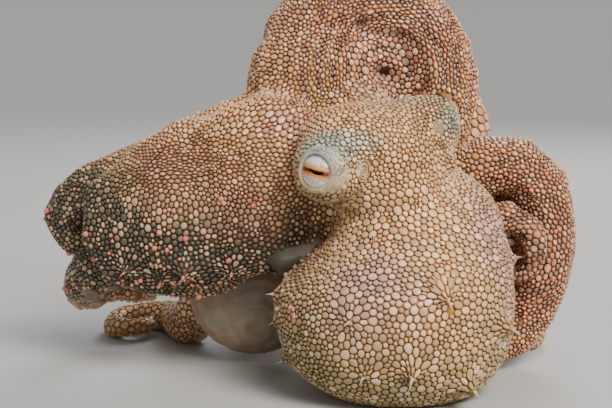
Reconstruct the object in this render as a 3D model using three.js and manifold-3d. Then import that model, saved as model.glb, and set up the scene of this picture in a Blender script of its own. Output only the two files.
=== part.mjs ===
// An octopus at rest, life size, in millimetres, +Z up, with the floor at z = 0.
// The mantle sac sits in front (towards -Y) with the head above it. The arms leave the crown behind
// the head: one arches over it, one is coiled at the right, two spread to the left under a web, and
// the other four come down behind and lie on the floor.
import * as THREE from "three";
import { mergeVertices } from "three/addons/utils/BufferGeometryUtils.js";
import Module from "manifold-3d";

const wasm = await Module();
wasm.setup();

// Driving dimensions.
const GAP = 0.3; // between neighbouring pieces of flesh
const MANTLE_HALF_WIDTH = 53;
const MANTLE_HALF_DEPTH = 45;
const MANTLE_TOP = 103;
const MANTLE_BOTTOM = -2.5; // below the floor, so that the floor cut leaves a flat
const MANTLE_CENTRE_X = 40;
const EYE_RADIUS = 9.6;
const ARM_SIDES = 7;
const TIP_RADIUS = 2.4;
const LONGEST_STEP = 15; // between the rings of a limb
const STEP_IN_RADII = 1.8; // the same on a thin limb
const FEWEST_STEPS = 4;
const CURVE_FRAMES = 160; // at which the cross directions of a limb are worked out
const SETTLED = 0.9; // a limb on the floor has its middle at this share of its radius, so it lies on a flat

// Colours of the fresh animal.
const COLOURS = {
  mantle: 0xcdb98f,
  head: 0xbfae86,
  eye: 0xe6e2d8,
  web: 0x8a6a4c,
  arm: 0xb9754f,
  funnel: 0xa58f78,
};

// ---- Solids and meshes -----------------------------------------------------------------------

function solidOf(geometry) {
  const bare = geometry.clone();
  bare.deleteAttribute("normal");
  bare.deleteAttribute("uv");
  const merged = mergeVertices(bare, 1e-3);
  return new wasm.Manifold(
    new wasm.Mesh({
      numProp: 3,
      vertProperties: new Float32Array(merged.attributes.position.array),
      triVerts: new Uint32Array(merged.index.array),
    }),
  );
}

// The one largest body of a solid: a cut can leave loose slivers, which are dropped.
function largestBody(solid) {
  const bodies = solid.decompose();
  return bodies.reduce((best, body) => (body.volume() > best.volume() ? body : best));
}

function geometryOf(solid) {
  const mesh = solid.getMesh();
  const stride = mesh.numProp;
  const positions = new Float32Array(mesh.numVert * 3);
  for (let i = 0; i < mesh.numVert; i++) {
    positions.set(mesh.vertProperties.subarray(i * stride, i * stride + 3), i * 3);
  }
  const geometry = new THREE.BufferGeometry();
  geometry.setAttribute("position", new THREE.BufferAttribute(positions, 3));
  geometry.setIndex(new THREE.BufferAttribute(mesh.triVerts, 1));
  geometry.computeVertexNormals();
  return geometry;
}

function moveVertices(geometry, place) {
  const position = geometry.attributes.position;
  const from = new THREE.Vector3();
  for (let i = 0; i < position.count; i++) {
    from.fromBufferAttribute(position, i);
    const to = place(from, i);
    position.setXYZ(i, to.x, to.y, to.z);
  }
  return geometry;
}

function blend(edge0, edge1, value) {
  return THREE.MathUtils.smoothstep(value, edge0, edge1);
}

// ---- Rounded bodies --------------------------------------------------------------------------

// How far a ray from a centre runs before it leaves an ellipsoid, or 0 where it misses it.
function reachOf(lobe, centre, direction) {
  const radii = new THREE.Vector3(...lobe.radii);
  const from = centre.clone().sub(new THREE.Vector3(...lobe.at)).divide(radii);
  const along = direction.clone().divide(radii);
  const a = along.lengthSq();
  const b = from.dot(along);
  const root = b * b - a * (from.lengthSq() - 1);
  return root < 0 ? 0 : Math.max(0, (-b + Math.sqrt(root)) / a);
}

// A smooth body that wraps several ellipsoid lobes, all seen from one centre.
const LOBE_BLEND = 9;
function lobedBody({ centre, lobes, around = 15, down = 10 }, grow = 0) {
  const middle = new THREE.Vector3(...centre);
  const geometry = new THREE.SphereGeometry(1, around, down);
  return solidOf(
    moveVertices(geometry, (direction) => {
      const sum = lobes
        .map((lobe) => reachOf(lobe, middle, direction) ** LOBE_BLEND)
        .reduce((total, value) => total + value, 0);
      const reach = sum ** (1 / LOBE_BLEND) + grow;
      return middle.clone().addScaledVector(direction, reach);
    }),
  );
}

// The mantle sac: a pear, narrow at the neck, full low down and blunt at its end on the floor.
// Its levels are shares of its height, counted down from the top.
const FULLEST = 0.58;
const BLUNTNESS = 2.6;
const WAIST = { at: 0.32, reach: 0.12, depth: 0.15 };
const NECK_LEAN = 11; // how far the neck leans to the right of the sac's middle
const END_LEAN = 3;
const SAC_SET = -18; // its middle, front to back, where it is full
const NECK_SET = 24; // how much further back the neck is
const MANTLE_SEGMENTS = 24;
const MANTLE_RINGS = 16;

function mantleSpread(down) {
  const upper = (FULLEST - down) / FULLEST;
  const lower = (down - FULLEST) / (1 - FULLEST);
  const waist = WAIST.depth * Math.exp(-(((down - WAIST.at) / WAIST.reach) ** 2));
  return down < FULLEST
    ? Math.sqrt(Math.max(0, 1 - upper ** 2)) - waist
    : Math.max(0, 1 - lower ** BLUNTNESS) ** (1 / BLUNTNESS);
}

function mantleBody(grow = 0) {
  const geometry = new THREE.SphereGeometry(1, MANTLE_SEGMENTS, MANTLE_RINGS);
  geometry.rotateX(Math.PI / 2);
  return solidOf(
    moveVertices(geometry, (unit) => {
      const down = (1 - unit.z) / 2;
      const round = Math.hypot(unit.x, unit.y) || 1;
      const turn = Math.atan2(unit.y, unit.x);
      const lean = NECK_LEAN * (1 - blend(0.3, 0.55, down)) + END_LEAN * blend(0.8, 1, down);
      const setBack = SAC_SET + NECK_SET * (1 - blend(0, 0.5, down));
      const lumps = 0.012 * Math.sin(3 * turn + 9 * down) + 0.01 * Math.sin(5 * turn - 6 * down);
      const spread = mantleSpread(down) * (1 + lumps);
      const outward = Math.abs(unit.z) < 0.96 ? grow : 0;
      const halfWidth = spread * MANTLE_HALF_WIDTH + outward;
      const halfDepth = spread * MANTLE_HALF_DEPTH + outward;
      return new THREE.Vector3(
        MANTLE_CENTRE_X + lean + (unit.x / round) * halfWidth,
        setBack + (unit.y / round) * halfDepth,
        MANTLE_TOP + down * (MANTLE_BOTTOM - MANTLE_TOP) + grow * unit.z,
      );
    }),
  );
}

// ---- Limbs -----------------------------------------------------------------------------------

// A tapered round length along a curve, from one share of the curve to another, with closed ends.
// Where its middle is near the floor it settles on it.
function limbLength(limb, from, to, grow = 0) {
  const points = [...limb.lead, ...(limb.coil ? coilPoints(limb.coil) : [])];
  const curve = new THREE.CatmullRomCurve3(
    points.map((point) => new THREE.Vector3(...point)),
    false,
    "centripetal",
  );
  const ringStep = Math.min(LONGEST_STEP, STEP_IN_RADII * limbRadius(limb, (from + to) / 2));
  const cutLength = curve.getLength() * (to - from);
  const steps = Math.max(FEWEST_STEPS, Math.round(cutLength / ringStep));
  const frames = curve.computeFrenetFrames(CURVE_FRAMES, false);
  const geometry = new THREE.CylinderGeometry(1, 1, 1, ARM_SIDES, steps);
  const margin = grow / curve.getLength();
  return solidOf(
    moveVertices(geometry, (point) => {
      const along = THREE.MathUtils.lerp(from - margin, to + margin, point.y + 0.5);
      const share = THREE.MathUtils.clamp(along, 0, 1);
      const centre = curve.getPointAt(share);
      const tangent = curve.getTangentAt(share);
      const across = frames.normals[Math.round(share * CURVE_FRAMES)].clone();
      across.addScaledVector(tangent, -across.dot(tangent)).normalize();
      const up = across.clone().cross(tangent);
      const radius = limbRadius(limb, share);
      const raised = blend(1.1 * radius, 1.6 * radius, centre.z);
      centre.z = THREE.MathUtils.lerp(SETTLED * radius, centre.z, raised);
      return centre
        .addScaledVector(across, point.x * (radius + grow))
        .addScaledVector(up, point.z * (radius + grow));
    }),
  );
}

// The radius tapers from the root to the tip, slowly at first, and closes to a blunt end.
const TIP_CLOSES_AT = 0.99;
const TIP_CLOSES_TO = 0.6;
function limbRadius({ root, hold, tip = TIP_RADIUS }, share) {
  const radius = tip + (root - tip) * (1 - share ** hold);
  return radius * (share > TIP_CLOSES_AT && tip === TIP_RADIUS ? TIP_CLOSES_TO : 1);
}

// ---- The body --------------------------------------------------------------------------------

const HEAD = {
  centre: [34, -4, 108],
  lobes: [
    { at: [34, -3, 107], radii: [29, 28, 25] }, // between the eyes
    { at: [10, -29, 102], radii: [15, 15.5, 15.5] }, // left eye turret
    { at: [55, 2, 119.5], radii: [14.5, 15, 15] }, // right eye turret
    { at: [40, -6, 90], radii: [27, 25, 16] }, // neck
    { at: [20, -16, 112], radii: [24, 20, 19] }, // brow between the left eye and the web
  ],
  around: 20,
  down: 13,
};

const CROWN = {
  centre: [4, 42, 112],
  lobes: [
    { at: [4, 46, 112], radii: [38, 24, 34] },
    { at: [20, 20, 116], radii: [30, 24, 26] },
  ],
};

const WEB_TOP = {
  centre: [8, 28, 138],
  lobes: [
    { at: [4, 30, 140], radii: [32, 20, 30] },
    { at: [32, 32, 143], radii: [27, 14, 23] },
  ],
};

const WEB_LEFT = {
  centre: [-36, 14, 88],
  lobes: [
    { at: [-16, 8, 94], radii: [36, 21, 44] },
    { at: [-52, 14, 80], radii: [36, 19, 43] },
    { at: [-78, 24, 72], radii: [34, 17, 37] },
  ],
  around: 20,
};

const WEB_RIGHT = {
  centre: [91, 43, 58],
  lobes: [{ at: [91, 43, 58], radii: [23, 8, 34] }],
  around: 15,
  down: 10,
};

const WEB_UNDER = {
  centre: [-26, 40, 38],
  lobes: [{ at: [-26, 40, 36], radii: [33, 16, 33] }],
};

const WEB_BACK = {
  centre: [2, 66, 84],
  lobes: [
    { at: [0, 70, 82], radii: [36, 14, 34] },
    { at: [28, 62, 88], radii: [26, 14, 24] },
    { at: [-24, 60, 84], radii: [24, 14, 28] },
  ],
};

const FUNNEL = {
  lead: [[16, 18, 80], [6, 8, 70], [-6, 0, 62], [-14, -5, 57]],
  root: 13,
  hold: 1,
  tip: 6.5,
};

// Each eyeball sits in its turret, turned to look out to its own side.
const EYE_SEGMENTS = 12;
const EYE_RINGS = 8;
const EYES = {
  eye_left: [7.6, -36.2, 104.2],
  eye_right: [61, 6.6, 120.8],
};

// Each arm: the middle of its lead from the crown, the coil that ends it where it has one, its
// radius at the root, how far along it holds that thickness, and the shares at which it is divided.
const ARMS = {
  arm_right_1: {
    lead: [[0, 42, 128], [-4, 38, 146], [0, 37, 163], [12, 36, 175], [28, 36, 178], [44, 36, 173],
      [58, 34, 160], [66, 30, 144], [66, 27, 128], [62, 29, 114], [59, 38, 106], [59, 50, 102]],
    coil: { at: [70, 61, 121], plane: "upright", start: -105, turn: 400, from: 20, to: 6.5, drift: 6 },
    root: 19.5,
    hold: 1.7,
    cuts: [0, 0.24, 0.42, 0.58, 1],
  },
  arm_right_2: {
    lead: [[32, 46, 96], [52, 43, 85], [72, 38, 90], [87, 34, 99], [101, 32, 99], [112, 31, 88],
      [116.5, 31, 68], [115, 31, 46], [107, 31, 26], [92, 30, 13], [76, 28, 18], [67, 26, 36],
      [71, 22, 57], [84, 16, 74], [97, 11, 77], [107, 9, 69], [108, 10, 57], [102, 14, 48],
      [94, 19, 48], [90, 23, 55]],
    root: 14.5,
    hold: 2.4,
    cuts: [0, 0.19, 0.42, 0.68, 1],
  },
  arm_right_3: {
    lead: [[26, 58, 98], [46, 70, 74], [58, 74, 44], [70, 71, 20], [86, 65, 11]],
    coil: { at: [102, 83, 7], plane: "floor", start: -100, turn: 440, from: 22, to: 6, drift: 0 },
    root: 16,
    hold: 1.2,
    cuts: [0, 0.3, 0.55, 1],
  },
  arm_right_4: {
    lead: [[12, 64, 94], [20, 86, 68], [22, 100, 40], [27, 112, 17], [42, 125, 11]],
    coil: { at: [61, 117, 7], plane: "floor", start: 130, turn: -430, from: 20, to: 5.5, drift: 0 },
    root: 15.5,
    hold: 1.2,
    cuts: [0, 0.3, 0.55, 1],
  },
  arm_left_1: {
    lead: [[-8, 36, 122], [-32, 30, 116], [-60, 28, 104], [-86, 32, 94], [-107, 36, 86],
      [-118, 42, 75]],
    coil: { at: [-101, 46, 73], plane: "upright", start: 190, turn: 420, from: 19, to: 6, drift: 22 },
    root: 17,
    hold: 1.3,
    cuts: [0, 0.3, 0.53, 1],
  },
  arm_left_2: {
    lead: [[-10, 34, 100], [-36, 26, 80], [-66, 26, 66], [-90, 32, 55], [-105, 38, 46],
      [-111, 52, 37]],
    coil: { at: [-92, 66, 31], plane: "floor", start: 190, turn: -420, from: 20, to: 6, drift: 0 },
    root: 17,
    hold: 1.3,
    cuts: [0, 0.3, 0.53, 1],
  },
  arm_left_3: {
    lead: [[-14, 46, 92], [-32, 53, 66], [-46, 62, 38], [-58, 76, 15], [-66, 90, 11]],
    coil: { at: [-90, 97, 7], plane: "floor", start: 22, turn: 440, from: 22, to: 6, drift: 0 },
    root: 16,
    hold: 1.2,
    cuts: [0, 0.28, 0.52, 1],
  },
  arm_left_4: {
    lead: [[-8, 60, 92], [-14, 80, 66], [-16, 94, 40], [-13, 107, 17], [-6, 119, 11]],
    coil: { at: [-23, 135, 7], plane: "floor", start: -25, turn: 440, from: 21, to: 6, drift: 0 },
    root: 15.5,
    hold: 1.2,
    cuts: [0, 0.3, 0.54, 1],
  },
};

// The points of a coil that winds inwards, and drifts backwards if it is upright.
const COIL_STEP = 40; // degrees
function coilPoints({ at, plane, start, turn, from, to, drift }) {
  const count = Math.round(Math.abs(turn) / COIL_STEP);
  return Array.from({ length: count + 1 }, (_, i) => {
    const angle = THREE.MathUtils.degToRad(start + (turn * i) / count);
    const reach = from * (to / from) ** (i / count);
    const side = reach * Math.cos(angle);
    const rise = reach * Math.sin(angle);
    return plane === "floor"
      ? [at[0] + side, at[1] + rise, at[2]]
      : [at[0] + side, at[1] + (drift * i) / count, at[2] + rise];
  });
}

// Pointed skin papillae: where each grows, the way it points, and its length.
const PAPILLAE = {
  mantle: [
    { at: [57, -57, 55], to: [6, -7, -11], length: 13 },
    { at: [83, -40, 36], to: [7, -6, -4], length: 11 },
    { at: [45, -60, 22], to: [-2, -8, -10], length: 12 },
    { at: [69, -48, 12], to: [6, -8, -9], length: 12 },
    { at: [-11, -22, 46], to: [-10, -3, 2], length: 6 },
    { at: [-8, -24, 18], to: [-9, -4, -1], length: 6 },
    { at: [92, -18, 62], to: [9, -3, 3], length: 6 },
  ],
  head: [{ at: [62, -8, 104], to: [10, -4, 1], length: 9 }],
};

const PAPILLA_SPREAD = 0.3; // base radius as a share of the length
const PAPILLA_ROOTED = 0.5; // how much more of it is sunk in the skin
const PAPILLA_SIDES = 6;
function papillaSolid({ at, to, length }) {
  const point = new THREE.Vector3(...to).normalize();
  const whole = length * (1 + PAPILLA_ROOTED);
  const cone = new THREE.ConeGeometry(length * PAPILLA_SPREAD, whole, PAPILLA_SIDES);
  cone.translate(0, (length - length * PAPILLA_ROOTED) / 2, 0);
  cone.applyQuaternion(
    new THREE.Quaternion().setFromUnitVectors(new THREE.Vector3(0, 1, 0), point),
  );
  cone.translate(...at);
  return solidOf(cone);
}

// ---- Putting it together ---------------------------------------------------------------------

// Pieces in the order in which they are made: each later one is cut back from all earlier ones.
const pieces = [];

function addPiece(name, colour, solid, grown) {
  let cut = solid;
  for (const earlier of pieces) cut = cut.subtract(earlier.grown);
  cut = largestBody(cut.subtract(underFloor));
  pieces.push({ name, colour, solid: cut, grown });
}

const FLOOR_SIZE = 600;
const FLOOR_THICKNESS = 60;
const floorBlock = new THREE.BoxGeometry(FLOOR_SIZE, FLOOR_SIZE, FLOOR_THICKNESS);
floorBlock.translate(0, 0, -FLOOR_THICKNESS / 2);
const underFloor = solidOf(floorBlock);

function withPapillae(solid, list) {
  return list.reduce((whole, papilla) => whole.add(papillaSolid(papilla)), solid);
}

for (const [name, at] of Object.entries(EYES)) {
  const ball = new THREE.SphereGeometry(EYE_RADIUS, EYE_SEGMENTS, EYE_RINGS);
  ball.translate(...at);
  const socket = new THREE.SphereGeometry(EYE_RADIUS + GAP, EYE_SEGMENTS, EYE_RINGS);
  socket.translate(...at);
  addPiece(name, COLOURS.eye, solidOf(ball), solidOf(socket));
}
addPiece("head", COLOURS.head, withPapillae(lobedBody(HEAD), PAPILLAE.head), lobedBody(HEAD, GAP));
addPiece("mantle", COLOURS.mantle, withPapillae(mantleBody(), PAPILLAE.mantle), mantleBody(GAP));
addPiece("crown", COLOURS.web, lobedBody(CROWN), lobedBody(CROWN, GAP));
addPiece("web_top", COLOURS.web, lobedBody(WEB_TOP), lobedBody(WEB_TOP, GAP));
addPiece("web_left", COLOURS.web, lobedBody(WEB_LEFT), lobedBody(WEB_LEFT, GAP));
addPiece("web_under", COLOURS.funnel, lobedBody(WEB_UNDER), lobedBody(WEB_UNDER, GAP));
addPiece("web_back", COLOURS.web, lobedBody(WEB_BACK), lobedBody(WEB_BACK, GAP));
for (const [name, arm] of Object.entries(ARMS)) {
  const lengths = arm.cuts.slice(1).map((to, i) => ({ from: arm.cuts[i], to }));
  lengths.forEach(({ from, to }, i) => {
    addPiece(
      `${name}_${"abcd"[i]}`,
      COLOURS.arm,
      limbLength(arm, from, to),
      limbLength(arm, from, to, GAP),
    );
  });
}
addPiece("web_right", COLOURS.web, lobedBody(WEB_RIGHT), lobedBody(WEB_RIGHT, GAP));
addPiece("funnel", COLOURS.funnel, limbLength(FUNNEL, 0, 1), limbLength(FUNNEL, 0, 1, GAP));

// The frame's origin is the middle of the whole body's box, at the floor.
const box = new THREE.Box3();
const meshes = pieces.map(({ name, colour, solid }) => {
  const mesh = new THREE.Mesh(
    geometryOf(solid),
    new THREE.MeshStandardMaterial({ color: colour, roughness: 0.55, metalness: 0 }),
  );
  mesh.name = name;
  box.expandByObject(mesh, true);
  return mesh;
});
const middle = box.getCenter(new THREE.Vector3());
const group = new THREE.Group();
for (const mesh of meshes) {
  mesh.geometry.translate(-middle.x, -middle.y, -box.min.z);
  group.add(mesh);
}

export default group;
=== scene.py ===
import math

import bmesh
import bpy
import numpy as np
from mathutils import Matrix, Vector, noise
from mathutils.bvhtree import BVHTree
from mathutils.geometry import barycentric_transform


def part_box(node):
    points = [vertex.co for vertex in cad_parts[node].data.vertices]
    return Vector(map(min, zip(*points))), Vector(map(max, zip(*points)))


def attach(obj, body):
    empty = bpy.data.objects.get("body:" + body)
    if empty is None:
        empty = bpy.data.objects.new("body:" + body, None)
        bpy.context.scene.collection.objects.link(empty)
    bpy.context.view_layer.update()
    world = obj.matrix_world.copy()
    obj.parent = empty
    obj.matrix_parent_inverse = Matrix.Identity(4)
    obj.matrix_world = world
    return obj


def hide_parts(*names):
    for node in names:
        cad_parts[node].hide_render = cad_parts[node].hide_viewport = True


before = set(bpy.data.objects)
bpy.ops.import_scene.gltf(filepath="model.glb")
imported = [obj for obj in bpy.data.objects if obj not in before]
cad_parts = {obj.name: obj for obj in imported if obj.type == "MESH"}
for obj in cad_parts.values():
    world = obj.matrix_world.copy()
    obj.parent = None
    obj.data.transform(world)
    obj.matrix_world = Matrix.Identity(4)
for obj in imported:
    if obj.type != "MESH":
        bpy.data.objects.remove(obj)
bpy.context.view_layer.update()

MM = 0.001

# Camera: level with the animal's head, a little above it, looking at the mantle and the left eye
# from in front. It is placed from the left eye.
CAMERA_FROM_EYE = Vector((-7.6, -622.3, 73.15)) * MM
CAMERA_DOWN_TILT = 8
CAMERA_LENS = 85

eye_low, eye_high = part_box("eye_left")
left_eye = (eye_low + eye_high) / 2
camera = bpy.data.objects.new("camera", bpy.data.cameras.new("camera"))
camera.data.lens = CAMERA_LENS
camera.location = left_eye + CAMERA_FROM_EYE
camera.rotation_euler = (math.radians(90 - CAMERA_DOWN_TILT), 0, 0)
bpy.context.collection.objects.link(camera)
bpy.context.scene.camera = camera

# Floor and light: a plain pale floor that runs off past the view, and soft studio light from a large
# lamp high in front, a weaker one behind and an even light from above.
FLOOR_SIZE = 60
floor_shape = bmesh.new()
bmesh.ops.create_grid(floor_shape, x_segments=1, y_segments=1, size=FLOOR_SIZE / 2)
floor_mesh = bpy.data.meshes.new("floor")
floor_shape.to_mesh(floor_mesh)
floor_shape.free()
floor = bpy.data.objects.new("floor", floor_mesh)
bpy.context.collection.objects.link(floor)
floor_paint = bpy.data.materials.new("floor_paint")
floor_paint.use_nodes = True
floor_paint.node_tree.nodes["Principled BSDF"].inputs["Base Color"].default_value = (0.50, 0.495, 0.48, 1)
floor_paint.node_tree.nodes["Principled BSDF"].inputs["Roughness"].default_value = 0.8
floor_mesh.materials.append(floor_paint)

sky = bpy.data.worlds.new("sky")
sky.use_nodes = True
sky.node_tree.nodes["Background"].inputs["Color"].default_value = (0.80, 0.80, 0.79, 1)
sky.node_tree.nodes["Background"].inputs["Strength"].default_value = 0.5
bpy.context.scene.world = sky


def soft_lamp(name, place, aim, size, power, colour):
    lamp = bpy.data.objects.new(name, bpy.data.lights.new(name, "AREA"))
    lamp.data.size = size
    lamp.data.energy = power
    lamp.data.color = colour
    lamp.location = place
    lamp.rotation_euler = (aim - place).to_track_quat("-Z", "Y").to_euler()
    bpy.context.collection.objects.link(lamp)


soft_lamp("key_lamp", Vector((0.5, -0.7, 0.75)), left_eye, 0.4, 9, (1.0, 0.96, 0.90))
soft_lamp("back_lamp", Vector((0.3, 0.9, 0.8)), left_eye, 0.6, 7, (0.95, 0.98, 1.0))

ceiling = bpy.data.objects.new("ceiling_light", bpy.data.lights.new("ceiling_light", "SUN"))
ceiling.data.energy = 1.9
ceiling.data.angle = math.radians(30)
ceiling.data.color = (1.0, 0.98, 0.94)
ceiling.rotation_euler = (math.radians(38), math.radians(24), 0)
bpy.context.collection.objects.link(ceiling)

# Body: one soft form that joins every piece of flesh, made from copies of the CAD solids swollen
# until their gaps close, then remeshed, smoothed and pushed in and out where the animal has folds,
# hollows and swellings. The skin and its pads are both made from it.
GAP_SWELL = 0.45 * MM
BODY_VOXEL = 1.35 * MM
BODY_SMOOTHING = 14
DRAWN_EYE = Vector((7.6, -36.2, 104.2))

EYE_SIZE = 9.6 * MM
EYE_BED = 0.6 * MM
PUPIL_TILT = 12


def eye_setting(centre, gaze, tilt):
    """An eye's middle, the way it looks, and the line along its pupil."""
    gaze = Vector(gaze).normalized()
    level = Vector((0, 0, 1)).cross(gaze).normalized()
    level = Matrix.Rotation(math.radians(tilt), 3, gaze) @ level
    return centre, gaze, level


right_low, right_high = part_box("eye_right")
EYES = {
    "eye_left": eye_setting(left_eye, (-0.50, -0.86, 0.10), -PUPIL_TILT),
    "eye_right": eye_setting((right_low + right_high) / 2, (0.92, 0.36, 0.14), 0),
}

flesh_names = sorted(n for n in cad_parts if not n.startswith("eye_"))
flesh = bmesh.new()
face_owner = []
for name in flesh_names:
    part = bmesh.new()
    part.from_mesh(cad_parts[name].data)
    bmesh.ops.remove_doubles(part, verts=part.verts, dist=0.01 * MM)
    for vert in part.verts:
        vert.co += vert.normal * GAP_SWELL
    face_owner += [name] * len(part.faces)
    part_mesh = bpy.data.meshes.new(name)
    part.to_mesh(part_mesh)
    part.free()
    flesh.from_mesh(part_mesh)
    bpy.data.meshes.remove(part_mesh)
flesh.faces.ensure_lookup_table()
owner_tree = BVHTree.FromBMesh(flesh)
for centre, *_ in EYES.values():
    bmesh.ops.create_uvsphere(
        flesh, u_segments=32, v_segments=24, radius=EYE_SIZE + EYE_BED,
        matrix=Matrix.Translation(centre),
    )
body_mesh = bpy.data.meshes.new("body")
flesh.to_mesh(body_mesh)
flesh.free()
body = bpy.data.objects.new("body", body_mesh)
bpy.context.collection.objects.link(body)


def finished_mesh(thing):
    """The mesh with its modifiers applied, in their place."""
    graph = bpy.context.evaluated_depsgraph_get()
    mesh = bpy.data.meshes.new_from_object(thing.evaluated_get(graph), depsgraph=graph)
    thing.modifiers.clear()
    thing.data = mesh
    return mesh


def spot(x, y, z):
    """A place written in the millimetres of the part's drawing, where DRAWN_EYE is the left eye."""
    return left_eye + (Vector((x, y, z)) - DRAWN_EYE) * MM


def points_of(mesh):
    points = np.empty(len(mesh.vertices) * 3, np.float32)
    mesh.vertices.foreach_get("co", points)
    return points.reshape(-1, 3)


def normals_of(mesh):
    normals = np.empty(len(mesh.vertices) * 3, np.float32)
    mesh.vertex_normals.foreach_get("vector", normals)
    return normals.reshape(-1, 3)


def nearness(points, centre, radii):
    """1 at a spot, falling smoothly to nothing past the radii round it."""
    away = (points - np.array(spot(*centre))) / (np.array(radii) * MM)
    return np.exp(-(away ** 2).sum(axis=1))


def lumps(points, size, seed):
    """Soft random lumps of about a size in millimetres, from -1 to 1."""
    shift = Vector((seed * 7.3, seed * 3.1, seed * 5.7))
    scale = 1 / (size * MM)
    return np.array([noise.noise(Vector(p) * scale + shift) for p in points.tolist()])


remesh = body.modifiers.new("remesh", "REMESH")
remesh.mode = "VOXEL"
remesh.voxel_size = BODY_VOXEL
soften = body.modifiers.new("soften", "SMOOTH")
soften.factor = 0.5
soften.iterations = BODY_SMOOTHING
finished_mesh(body)

# where, how wide each way, and how far out (or in) the flesh stands there
SWELLINGS = [
    ((14, -36, 115), (15, 10, 4.5), 2.0),  # fold over the left eye
    ((-3, -30, 104), (6, 8, 12), 1.0),  # in front of it
    ((18, -40, 103), (6, 8, 12), 1.2),  # behind it
    ((8, -33, 87), (11, 9, 6), -3.5),  # hollow under it
    ((1, -8, 80), (10, 10, 10), -3.0),  # where head, web and mantle meet
    ((24.2, -37, 104.5), (7, 8, 9), 0.8),  # whorl behind the left eye
    ((40, -18, 122), (12, 12, 10), -1.5),  # saddle between the two eyes
    ((37.8, 18, 144.5), (13, 12, 11), -3.5),  # hollow under the arch
    ((37.8, 18, 144.5), (3.2, 12, 3.6), -9.0),  # dark hole in it
    ((40.5, 18, 140.5), (4, 12, 3), -3.0),
    ((2.5, -40, 94), (1.9, 6, 4), 1.0),  # small folds that hang under the left eye
    ((7.5, -40, 92.5), (1.9, 6, 4), 1.3),
    ((12.5, -40, 93), (1.9, 6, 4), 1.3),
    ((17, -39, 95), (1.9, 6, 4), 1.1),
    ((66, -22, 92), (10, 14, 6), -2.0),  # neck
    ((-28, -2, 112), (16, 12, 8), 1.5),  # ridge of the left web
    ((-62, -4, 100), (14, 12, 10), 1.8),
    ((-80, 2, 78), (9, 12, 16), -1.6),  # furrow at its left
    ((-100, 14, 88), (10, 12, 12), 1.8),
    ((-44, -6, 84), (16, 12, 8), -1.4),
    ((-22, -8, 92), (12, 12, 16), 1.4),
    ((-50, -4, 58), (22, 12, 6), 2.0),  # rolled lower rim of the web
    ((-12, -8, 60), (14, 12, 6), 1.6),
]
# folds that ring a spot: where, how far they reach, how far apart and how high they are
RINGS = [
    ((24.2, -37, 104.5), (8, 10, 9), 3.0, 0.5),
    ((59.1, -12.8, 121), (7, 9, 8), 3.2, 0.45),
    ((37.8, 18, 144.5), (46, 30, 42), 7.0, 1.1),
    ((-24, 30, 20), (26, 24, 26), 6.0, 0.5),
    ((100, 14, 58), (34, 30, 40), 8.0, 0.7),
]
COARSE_LUMPS = 17
FINE_LUMPS = 7

points, normals = points_of(body.data), normals_of(body.data)
rise = np.zeros(len(points))
for centre, radii, out in SWELLINGS:
    rise += out * nearness(points, centre, radii)
for centre, radii, apart, high in RINGS:
    reach = np.linalg.norm(points - np.array(spot(*centre)), axis=1) / MM
    rise += high * nearness(points, centre, radii) * np.sin(reach / apart * 2 * math.pi)
rise += 0.7 * lumps(points, COARSE_LUMPS, 1)
rise += 0.5 * lumps(points, FINE_LUMPS, 2) * (1 - nearness(points, (40, -30, 70), (60, 60, 60)))
points = points + normals * (rise * MM)[:, None]


# The lids: hide that rises round each eyeball, different on its right, left, top and bottom. How far
# it falls away over six millimetres, and how far out it stays bare of pads.
LID_FALLS = {"eye_left": (2.6, 8, 4, 8), "eye_right": (4, 4, 4, 5)}
LID_BARE = {"eye_left": (11.4, 8.2, 10.2, 8.4), "eye_right": (9, 8.8, 9.5, 8.8)}
LID_FRONT = 6.9
BROW_LIFT = 1.2
LID_FROM = 8.0
LID_MEETS_BODY = 16
LID_SMOOTHING = 9
LID_SMOOTHED_TO = 21


def round_eye(turn, right, left, top, bottom):
    """A value that differs on the four sides of an eye."""
    side, rise = np.cos(turn), np.sin(turn)
    return (
        right * np.clip(side, 0, 1) ** 2 + left * np.clip(-side, 0, 1) ** 2
        + top * np.clip(rise, 0, 1) ** 2 + bottom * np.clip(-rise, 0, 1) ** 2
    )


def eye_places(points, name):
    """Turn about an eye's line of sight, reach from it and height along it, in millimetres."""
    centre, gaze, across = EYES[name]
    away = (np.asarray(points) - np.array(centre)) / MM
    along, over = away @ np.array(across), away @ np.array(gaze.cross(across))
    return np.arctan2(over, along), np.hypot(along, over), away @ np.array(gaze)


def lid_height(name, turn, out):
    """How far the lids' hide lies in front of the eyeball's middle."""
    front = LID_FRONT + BROW_LIFT * np.clip(np.sin(turn), 0, 1)
    return front - round_eye(turn, *LID_FALLS[name]) * (np.maximum(out - LID_FROM, 0) / 6) ** 1.5


def eased(values, start, end):
    share = np.clip((values - start) / (end - start), 0, 1)
    return share * share * (3 - 2 * share)


for name, (centre, gaze, _) in EYES.items():
    turn, out, ahead = eye_places(points, name)
    bed = np.sqrt(np.maximum((EYE_SIZE / MM) ** 2 - out ** 2, 0)) - 1.2
    target = np.where(out > LID_FROM + 0.7, lid_height(name, turn, out), bed)
    share = eased(out, LID_MEETS_BODY, 11) * eased(ahead, -8, -3) * eased(ahead, 13, 11)
    turned_off = 1 - eased(normals @ np.array(gaze), -0.1, 0.35)
    share = share * (1 - turned_off * eased(out, 10.5, 13))
    points = points + np.array(gaze) * ((target - ahead) * share * MM)[:, None]
body.data.vertices.foreach_set("co", points.ravel())
calmed = bmesh.new()
calmed.from_mesh(body.data)
calmed.verts.ensure_lookup_table()
for name in EYES:
    turn, out, ahead = eye_places(points, name)
    near = np.nonzero((out > 7.5) & (out < LID_SMOOTHED_TO) & (ahead > -14) & (ahead < 14))[0]
    for _ in range(LID_SMOOTHING):
        bmesh.ops.smooth_vert(
            calmed, verts=[calmed.verts[i] for i in near], factor=0.5,
            use_axis_x=True, use_axis_y=True, use_axis_z=True,
        )
calmed.to_mesh(body.data)
calmed.free()
points = points_of(body.data)

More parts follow.
